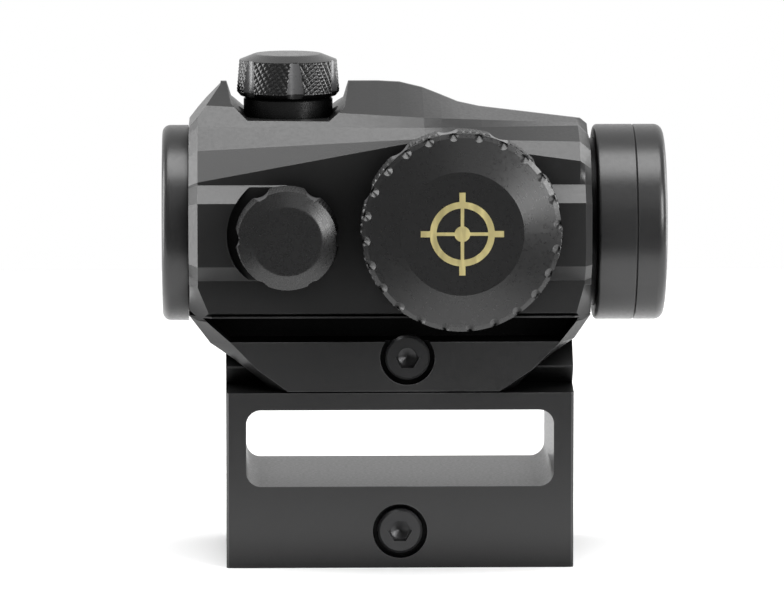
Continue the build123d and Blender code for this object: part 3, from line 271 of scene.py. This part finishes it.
def add_bump(tree, shader, heights):
    """Chained bumps, as (height output, distance in metres, strength)."""
    previous = None
    for height, distance, strength in heights:
        bump = tree.nodes.new("ShaderNodeBump")
        bump.inputs["Strength"].default_value = strength
        bump.inputs["Distance"].default_value = distance
        tree.links.new(height, bump.inputs["Height"])
        if previous:
            tree.links.new(previous, bump.inputs["Normal"])
        previous = bump.outputs["Normal"]
    tree.links.new(previous, shader.inputs["Normal"])


def edge_mask(tree, radius):
    """1 on worn edges, 0 on open faces, from the difference that edge rounding makes."""
    rounded = tree.nodes.new("ShaderNodeBevel")
    rounded.samples = 4
    rounded.inputs["Radius"].default_value = radius
    plain = tree.nodes.new("ShaderNodeNewGeometry")
    alike = tree.nodes.new("ShaderNodeVectorMath")
    alike.operation = "DOT_PRODUCT"
    tree.links.new(rounded.outputs["Normal"], alike.inputs[0])
    tree.links.new(plain.outputs["Normal"], alike.inputs[1])
    return map_value(tree, alike.outputs["Value"], 1.0, 0.0, 0.80, 0.99)


def painted_shade_share(tree, reach):
    """Painted shade mask from ambient occlusion: 0 deep in a gap or under an overhang, 1 on open faces.
    """
    occlusion = tree.nodes.new("ShaderNodeAmbientOcclusion")
    occlusion.samples = 6
    occlusion.inputs["Distance"].default_value = reach
    return map_value(tree, occlusion.outputs["AO"], 0.0, 1.0, 0.25, 0.85)


def anodised(name, grey, roughness, centre=None, axis=None, wear=0.0, blast=1.0):
    """Satin black anodised aluminium: grain or lathe rings, rubbed edges, and painted shade that darkens
    colour and reflections in recesses.
    """
    material, tree, shader = new_material(name)
    cloud = add_noise(tree, 110.0, 4.0)
    speck = add_noise(tree, 2600.0, 2.0)
    dark = (grey * 0.75, grey * 0.75, grey * 0.77)
    light = (grey * 1.2, grey * 1.2, grey * 1.22)
    tone = mix_colours(tree, cloud.outputs["Fac"], dark, light)
    if wear:
        mask = edge_mask(tree, WORN_EDGE)
        rubbed = tree.nodes.new("ShaderNodeMath")
        rubbed.operation = "MULTIPLY"
        tree.links.new(mask, rubbed.inputs[0])
        tree.links.new(map_value(tree, cloud.outputs["Fac"], 0.0, wear, 0.35, 0.6), rubbed.inputs[1])
        mix = tree.nodes.new("ShaderNodeMix")
        mix.data_type = "RGBA"
        mix.inputs["B"].default_value = (0.22, 0.22, 0.225, 1)
        tree.links.new(rubbed.outputs["Value"], mix.inputs["Factor"])
        tree.links.new(tone, mix.inputs["A"])
        tone = mix.outputs["Result"]
    # Painted shade: ambient occlusion darkens the base colour and lowers the specular level in gaps and
    # under overhangs.
    open_face = painted_shade_share(tree, PAINTED_SHADE_REACH)
    recess = tree.nodes.new("ShaderNodeMix")
    recess.data_type = "RGBA"
    recess.inputs["A"].default_value = (PAINTED_SHADE_GREY, PAINTED_SHADE_GREY, PAINTED_SHADE_GREY, 1)
    tree.links.new(open_face, recess.inputs["Factor"])
    tree.links.new(tone, recess.inputs["B"])
    tree.links.new(recess.outputs["Result"], shader.inputs["Base Color"])
    specular = map_value(tree, open_face, PAINTED_SHADE_SPECULAR, OPEN_SPECULAR, 0.0, 1.0)
    tree.links.new(specular, shader.inputs["Specular IOR Level"])
    rough = map_value(tree, speck.outputs["Fac"], roughness - 0.04, roughness + 0.05)
    tree.links.new(rough, shader.inputs["Roughness"])
    grain = add_noise(tree, 6500.0, 2.0)
    heights = [(grain.outputs["Fac"], GRAIN_HEIGHT, 0.3 * blast)]
    if centre is not None:
        rings = add_turning(tree, centre, axis, 5200.0)
        heights.append((rings.outputs["Fac"], RING_HEIGHT, 0.3))
    add_bump(tree, shader, heights)
    shader.inputs["IOR"].default_value = 1.55
    shader.inputs["Metallic"].default_value = 0.0
    return material


def plain_metal(name, colour, roughness, metallic=1.0, grain=3000.0, stretch=None):
    """Bare or plated metal with fine grain and slightly uneven polish."""
    material, tree, shader = new_material(name)
    cloud = add_noise(tree, 300.0, 3.0)
    dark = [component * 0.86 for component in colour]
    tree.links.new(mix_colours(tree, cloud.outputs["Fac"], dark, colour), shader.inputs["Base Color"])
    fine = add_noise(tree, grain, 2.0, stretch=stretch)
    rough = map_value(tree, fine.outputs["Fac"], roughness - 0.06, roughness + 0.08)
    tree.links.new(rough, shader.inputs["Roughness"])
    add_bump(tree, shader, [(fine.outputs["Fac"], GRAIN_HEIGHT, 0.35)])
    shader.inputs["Metallic"].default_value = metallic
    return material


def rubber(name):
    """Black nitrile rubber with a dusty bloom."""
    material, tree, shader = new_material(name)
    bloom = add_noise(tree, 900.0, 4.0)
    tree.links.new(
        mix_colours(tree, bloom.outputs["Fac"], (0.008, 0.008, 0.008), (0.03, 0.03, 0.03)),
        shader.inputs["Base Color"],
    )
    tree.links.new(map_value(tree, bloom.outputs["Fac"], 0.6, 0.85), shader.inputs["Roughness"])
    add_bump(tree, shader, [(bloom.outputs["Fac"], GRAIN_HEIGHT, 0.4)])
    return material


def coated_glass(name, tint, film, index):
    """Optical glass with an interference coating and faint cleaning haze."""
    material, tree, shader = new_material(name)
    haze = add_noise(tree, 220.0, 4.0)
    darker = [component * 0.96 for component in tint]
    tree.links.new(mix_colours(tree, haze.outputs["Fac"], darker, tint), shader.inputs["Base Color"])
    tree.links.new(map_value(tree, haze.outputs["Fac"], 0.0, 0.035, 0.4, 0.8), shader.inputs["Roughness"])
    shader.inputs["Transmission Weight"].default_value = 1.0
    shader.inputs["IOR"].default_value = 1.52
    shader.inputs["Thin Film Thickness"].default_value = film
    shader.inputs["Thin Film IOR"].default_value = index
    return material


def board_material(centre):
    """Green solder mask over tracks, with gilt rings for the rotary switch."""
    material, tree, shader = new_material("board_green")
    rings = add_turning(tree, centre, (0.0, 1.0, 0.0), 900.0)
    gilt = map_value(tree, rings.outputs["Fac"], 0.0, 1.0, 0.56, 0.60)
    weave = add_noise(tree, 2500.0, 2.0, stretch=(1, 1, 4))
    base = mix_colours(tree, weave.outputs["Fac"], (0.01, 0.07, 0.03), (0.02, 0.13, 0.06))
    mix = tree.nodes.new("ShaderNodeMix")
    mix.data_type = "RGBA"
    mix.inputs["B"].default_value = (0.75, 0.55, 0.22, 1)
    tree.links.new(gilt, mix.inputs["Factor"])
    tree.links.new(base, mix.inputs["A"])
    tree.links.new(mix.outputs["Result"], shader.inputs["Base Color"])
    tree.links.new(map_value(tree, weave.outputs["Fac"], 0.25, 0.4), shader.inputs["Roughness"])
    add_bump(tree, shader, [(gilt, 0.00003, 0.6)])
    return material


def led_material():
    """Clear red moulding; it gives no light."""
    material, tree, shader = new_material("led_red")
    cloud = add_noise(tree, 1500.0, 2.0)
    tree.links.new(
        mix_colours(tree, cloud.outputs["Fac"], (0.45, 0.02, 0.015), (0.75, 0.06, 0.05)),
        shader.inputs["Base Color"],
    )
    tree.links.new(map_value(tree, cloud.outputs["Fac"], 0.08, 0.16), shader.inputs["Roughness"])
    shader.inputs["Subsurface Weight"].default_value = 0.3
    shader.inputs["Subsurface Radius"].default_value = (0.001, 0.0003, 0.0003)
    return material


# ---------------------------------------------------------------- knurled pieces
def triangle_wave(value):
    """0 at whole numbers, 1 half way between them."""
    return 1.0 - abs(2.0 * (value % 1.0) - 1.0)


def knurl(along, up, pitch, depth):
    """Depth below the crest of a diamond knurl at a place on the surface."""
    rising = triangle_wave((along + up) / (2 * pitch))
    falling = triangle_wave((along - up) / (2 * pitch))
    return depth * (1.0 - min(rising, falling))


def flute_limit(angle, first, count, flute, reach):
    """Distance from the axis at which the nearest flute's wall starts at an angle."""
    step = 2 * math.pi / count
    off = (angle - first + step / 2) % step - step / 2
    side = reach * math.sin(off)
    if abs(side) >= flute or math.cos(off) <= 0:
        return math.inf
    return reach * math.cos(off) - math.sqrt(flute * flute - side * side)


def grid_piece(name, profile, columns, radius_at, closed_ends=True):
    """Turned mesh of (radius, distance, knurled) rows; radius_at also says where a flute cuts in."""
    mesh = bpy.data.meshes.new(name)
    build = bmesh.new()
    rows = []
    fluted = set()
    for radius, distance, knurled in profile:
        if radius == 0:
            rows.append([build.verts.new((0, 0, distance * MM))])
            continue
        row = []
        for column in range(columns):
            angle = 2 * math.pi * column / columns
            here, in_flute = radius_at(radius, distance, angle, knurled)
            across, up = here * math.cos(angle), here * math.sin(angle)
            vertex = build.verts.new((across * MM, up * MM, distance * MM))
            row.append(vertex)
            if in_flute:
                fluted.add(vertex)
        rows.append(row)
    if not closed_ends:
        rows.append(rows[0])
    for lower, upper in zip(rows, rows[1:]):
        for column in range(columns):
            after = (column + 1) % columns
            if len(lower) == 1:
                build.faces.new((lower[0], upper[after], upper[column]))
            elif len(upper) == 1:
                build.faces.new((lower[column], lower[after], upper[0]))
            else:
                build.faces.new((lower[column], lower[after], upper[after], upper[column]))
    bmesh.ops.recalc_face_normals(build, faces=build.faces)
    for face in build.faces:
        face.smooth = True
        face.material_index = 1 if all(vertex in fluted for vertex in face.verts) else 0
    for edge in build.edges:
        if len(edge.link_faces) == 2 and edge.calc_face_angle() > math.radians(SHARP_EDGE):
            edge.smooth = False
    build.to_mesh(mesh)
    build.free()
    piece = bpy.data.objects.new(name, mesh)
    bpy.context.scene.collection.objects.link(piece)
    return piece


def fill_rows(points, step, knurled=False):
    """Profile rows at even steps along straight runs between (radius, distance) points."""
    rows = []
    for start, end in zip(points, points[1:]):
        pieces = max(1, math.ceil(math.dist(start, end) / step))
        for number in range(pieces):
            share = number / pieces
            rows.append((
                start[0] + share * (end[0] - start[0]),
                start[1] + share * (end[1] - start[1]),
                knurled,
            ))
    rows.append((*points[-1], knurled))
    return rows


CAP_BOTTOM = 15.85          # distances from the tube's axis, as in the CAD
CAP_TOP = 21.0
CAP_TOP_RADIUS = 4.15
CAP_SHOULDER_RADIUS = 6.05
CAP_BASE_RADIUS = 6.375
CAP_MOUTH_RADIUS = 5.4
CAP_MOUTH_DEPTH = 0.85
CAP_BORE = 4.65
CAP_BORE_END = 19.85
CAP_FLUTES = 6
CAP_COLUMNS = 840
CAP_FLUTED_FROM = 5.5       # the flutes cut only what lies further out than this
FLUTE_RADIUS = 1.7
FLUTE_DEPTH = 0.55
KNURL_PITCH = 0.42
KNURL_DEPTH = 0.13
SHARP_EDGE = 32             # degrees


def turret_cap(name, first_flute):
    """Screw-on cap with six smooth flutes between knurled lobes."""
    top = [
        (0.0, CAP_TOP),
        (1.4, CAP_TOP),
        (2.8, CAP_TOP),
        (CAP_TOP_RADIUS - 0.12, CAP_TOP),
        (CAP_TOP_RADIUS, CAP_TOP - 0.012),
        (CAP_TOP_RADIUS + 0.12, CAP_TOP - 0.05),
    ]
    chamfer = [(CAP_TOP_RADIUS + 0.12, CAP_TOP - 0.05), (CAP_SHOULDER_RADIUS - 0.05, CAP_TOP - 0.74)]
    grip = [(CAP_SHOULDER_RADIUS, CAP_TOP - 0.79), (CAP_BASE_RADIUS, CAP_BOTTOM + 0.6)]
    lower = [
        (CAP_BASE_RADIUS - 0.06, CAP_BOTTOM + 0.5),
        (CAP_BASE_RADIUS - 0.45, CAP_BOTTOM + 0.03),
        (CAP_BASE_RADIUS - 0.5, CAP_BOTTOM),
        (CAP_MOUTH_RADIUS, CAP_BOTTOM),
        (CAP_MOUTH_RADIUS, CAP_BOTTOM + CAP_MOUTH_DEPTH),
        (CAP_BORE, CAP_BOTTOM + CAP_MOUTH_DEPTH),
        (CAP_BORE, CAP_BORE_END),
        (0.0, CAP_BORE_END),
    ]
    profile = [(*point, False) for point in top]
    profile += fill_rows(chamfer, 0.2)[1:]
    profile += fill_rows(grip, 0.075, True)
    profile += [(*point, False) for point in lower]
    first = math.radians(first_flute)
    reach = CAP_BASE_RADIUS + FLUTE_RADIUS - FLUTE_DEPTH

    def radius_at(radius, distance, angle, knurled):
        if radius < CAP_FLUTED_FROM:
            return radius, False
        if knurled:
            radius -= knurl(radius * angle, distance, pitch, KNURL_DEPTH)
        limit = flute_limit(angle, first, CAP_FLUTES, FLUTE_RADIUS, reach)
        return min(radius, limit), knurled and limit <= radius

    crossings = round(2 * math.pi * CAP_BASE_RADIUS / (2 * KNURL_PITCH))
    pitch = math.pi * CAP_BASE_RADIUS / crossings
    return grid_piece(name, profile, CAP_COLUMNS, radius_at)


DIAL_RADIUS = 12.2
DIAL_BORE = 11.2
DIAL_BACK = 19.2
DIAL_FACE = 22.9
DIAL_FLUTES = 12
DIAL_FIRST_FLUTE = 8        # degrees
DIAL_FLUTE_RADIUS = 2.6
DIAL_FLUTE_DEPTH = 0.45
DIAL_COLUMNS = 1440


def knurled_dial(name):
    """Brightness ring with twelve shallow flutes between knurled lobes."""
    grip = [(DIAL_RADIUS, DIAL_FACE - 0.22), (DIAL_RADIUS, DIAL_BACK + 0.22)]
    profile = [
        (DIAL_BORE, DIAL_BACK, False),
        (DIAL_BORE, DIAL_FACE - 0.1, False),
        (DIAL_BORE + 0.1, DIAL_FACE, False),
        (DIAL_RADIUS - 0.3, DIAL_FACE, False),
        (DIAL_RADIUS - 0.22, DIAL_FACE - 0.02, False),
    ]
    profile += fill_rows(grip, 0.08, True)
    profile += [(DIAL_RADIUS - 0.22, DIAL_BACK + 0.02, False), (DIAL_RADIUS - 0.3, DIAL_BACK, False)]
    first = math.radians(DIAL_FIRST_FLUTE)
    reach = DIAL_RADIUS + DIAL_FLUTE_RADIUS - DIAL_FLUTE_DEPTH

    def radius_at(radius, distance, angle, knurled):
        if radius < DIAL_RADIUS - 0.5:
            return radius, False
        if knurled:
            radius -= knurl(radius * angle, distance, pitch, KNURL_DEPTH)
        limit = flute_limit(angle, first, DIAL_FLUTES, DIAL_FLUTE_RADIUS, reach)
        return min(radius, limit), knurled and limit <= radius

    crossings = round(2 * math.pi * DIAL_RADIUS / (2 * KNURL_PITCH))
    pitch = math.pi * DIAL_RADIUS / crossings
    return grid_piece(name, profile, DIAL_COLUMNS, radius_at, closed_ends=False)


def stand(piece, origin, outward, along):
    """Lays a piece's local +Z along outward and its local +X along along, into the mesh itself."""
    outward, along = Vector(outward), Vector(along)
    turn = Matrix((along, outward.cross(along), outward)).transposed().to_4x4()
    piece.data.transform(Matrix.Translation(origin) @ turn)


def finish_piece(piece, node, body, material, painted_sheen_material):
    """Puts a piece in its CAD node's place, on its body and with its materials."""
    piece.data.materials.append(material)
    # The flute faces take the lighter copy of the black, which is painted sheen.
    piece.data.materials.append(painted_sheen_material)
    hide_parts(node)
    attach(piece, body)


def soften_edges(node, width, angle=28.0, segments=2):
    """Small rounded edges on a CAD node, which catch the light as real ones do."""
    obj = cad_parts[node]
    bevel = obj.modifiers.new("edges", "BEVEL")
    bevel.width = width * MM
    bevel.segments = segments
    bevel.limit_method = "ANGLE"
    bevel.angle_limit = math.radians(angle)
    bevel.harden_normals = True
    bevel.miter_outer = "MITER_ARC"


# ---------------------------------------------------------------- the scene
add_camera()
add_studio()

X_AXIS, Y_AXIS, Z_AXIS = (1.0, 0.0, 0.0), (0.0, 1.0, 0.0), (0.0, 0.0, 1.0)
body_black = anodised("body_black", 0.010, 0.35, wear=0.35)
riser_black = anodised("riser_black", 0.011, 0.35, wear=0.35)
ring_black = anodised("ring_black", 0.014, 0.32, tube_centre, X_AXIS, wear=0.25, blast=0.4)
elevation_black = anodised("elevation_cap_black", 0.010, 0.28, elevation_centre, Z_AXIS, blast=0.2)
windage_black = anodised("windage_cap_black", 0.010, 0.28, windage_centre, Y_AXIS, blast=0.2)
dial_black = anodised("dial_black", 0.010, 0.30, dial_centre, Y_AXIS, blast=0.2)
# Painted sheen: the smooth flute faces get a black ten times lighter than the knurl beside them, which
# stands in for the light they catch.
flute_painted_sheen = anodised("flute_painted_sheen", 0.10, 0.30, blast=0.4)
screw_black = plain_metal("screw_black", (0.035, 0.035, 0.036), 0.34, metallic=0.6, grain=4000.0)
gold = plain_metal("gold_inlay", (1.0, 0.87, 0.42), 0.42, grain=2600.0, stretch=(1, 1, 0.15))
steel = plain_metal("bright_steel", (0.62, 0.62, 0.63), 0.28, grain=3500.0, stretch=(1, 1, 0.2))
brass = plain_metal("brass_dial", (0.66, 0.50, 0.22), 0.32, grain=3500.0)
cell = plain_metal("cell_steel", (0.74, 0.74, 0.75), 0.22, grain=1800.0, stretch=(0.2, 1, 1))
inside_black = anodised("inside_black", 0.010, 0.80)
seal_black = rubber("seal_black")
window_glass = coated_glass("window_glass", (0.90, 0.97, 0.98), 330.0, 1.38)
lens_glass = coated_glass("lens_glass", (0.95, 0.74, 0.70), 480.0, 2.0)
board_green = board_material(dial_centre)
led_red = led_material()

node_materials = {
    "riser_body": riser_black,
    "riser_clamp_bar": riser_black,
    "riser_clamp_screw": screw_black,
    "riser_recoil_key": screw_black,
    "housing": body_black,
    "sight_clamp_bar": body_black,
    "sight_clamp_screw": screw_black,
    "sight_recoil_key": screw_black,
    "eyepiece_ring": ring_black,
    "objective_collar": ring_black,
    "objective_ring": ring_black,
    "rear_window": window_glass,
    "front_window": window_glass,
    "rear_window_seal": seal_black,
    "front_window_seal": seal_black,
    "optics_tube": inside_black,
    "collimating_lens": lens_glass,
    "lens_retainer": inside_black,
    "emitter_housing": inside_black,
    "emitter_led": led_red,
    "gimbal_ring": steel,
    "tube_pivot_pins": steel,
    "gimbal_pivot_pins": steel,
    "bias_spring": steel,
    "battery_hub": dial_black,
    "hub_screws": steel,
    "circuit_board": board_green,
    "battery_contact": brass,
    "coin_cell": cell,
    "brightness_dial": dial_black,
    "dial_detent_leaf": steel,
    "battery_cap": dial_black,
    "cap_emblem": gold,
    "battery_cap_seal": seal_black,
    "elevation_turret": elevation_black,
    "elevation_adjuster": brass,
    "elevation_plunger": steel,
    "elevation_cap": elevation_black,
    "elevation_cap_seal": seal_black,
    "windage_turret": windage_black,
    "windage_adjuster": brass,
    "windage_plunger": steel,
    "windage_cap": windage_black,
    "windage_cap_seal": seal_black,
}
for node, material in node_materials.items():
    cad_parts[node].data.materials.clear()
    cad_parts[node].data.materials.append(material)

cap = turret_cap("elevation_cap_knurled", 38)
stand(cap, (elevation_centre.x, tube_centre.y, tube_centre.z), Z_AXIS, X_AXIS)
finish_piece(cap, "elevation_cap", "elevation_cap_body", elevation_black, flute_painted_sheen)
cap = turret_cap("windage_cap_knurled", 0)
stand(cap, (windage_centre.x, tube_centre.y, tube_centre.z), (0, -1, 0), X_AXIS)
finish_piece(cap, "windage_cap", "windage_cap_body", windage_black, flute_painted_sheen)
dial = knurled_dial("brightness_dial_knurled")
stand(dial, (dial_centre.x, tube_centre.y, dial_centre.z), (0, -1, 0), X_AXIS)
finish_piece(dial, "brightness_dial", "dial", dial_black, flute_painted_sheen)

for node, width in (
    ("housing", 0.12),
    ("riser_body", 0.12),
    ("sight_clamp_bar", 0.1),
    ("riser_clamp_bar", 0.1),
    ("battery_cap", 0.14),
    ("cap_emblem", 0.04),
    ("elevation_turret", 0.05),
    ("windage_turret", 0.05),
):
    soften_edges(node, width)
